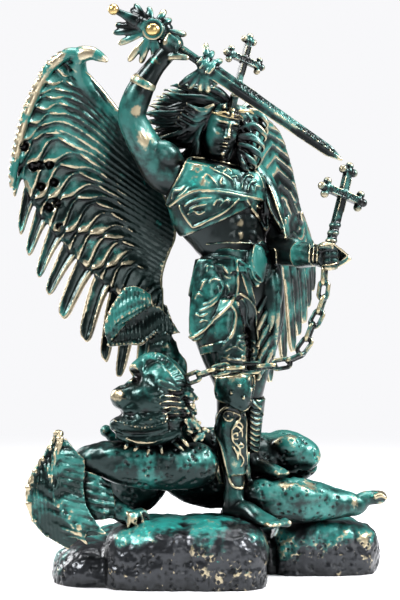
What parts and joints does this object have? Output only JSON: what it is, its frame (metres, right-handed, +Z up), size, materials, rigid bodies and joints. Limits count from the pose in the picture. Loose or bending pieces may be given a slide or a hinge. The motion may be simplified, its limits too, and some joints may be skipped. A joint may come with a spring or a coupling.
{
  "type": "archangel michael statue",
  "caption": "Cast bronze group of a winged, armoured archangel with raised sword and cross standing on a chained demon over rocks.",
  "frame": {"origin": "on the flat underside of the rocks, below the middle of the group", "axes": "+Z up, +Y from the side that is seen to the back, +X to the viewer's right"},
  "size_m": [0.383, 0.281, 0.5742],
  "materials": {
    "patinated_bronze": "green patina over dark bronze, rubbed golden on the raised edges",
    "dark_bronze": "dark brown patina, rubbed bright on the raised edges"
  },
  "bodies": {
    "root": {"archangel": "patinated_bronze", "right_wing": "patinated_bronze", "left_wing": "patinated_bronze", "demon": "patinated_bronze", "demon_upper_wing": "patinated_bronze", "demon_lower_wing": "patinated_bronze", "rock_base": "patinated_bronze", "sword": "dark_bronze", "hand_cross": "dark_bronze", "diadem_cross": "dark_bronze", "chain": "dark_bronze"}
  },
  "joints": []
}
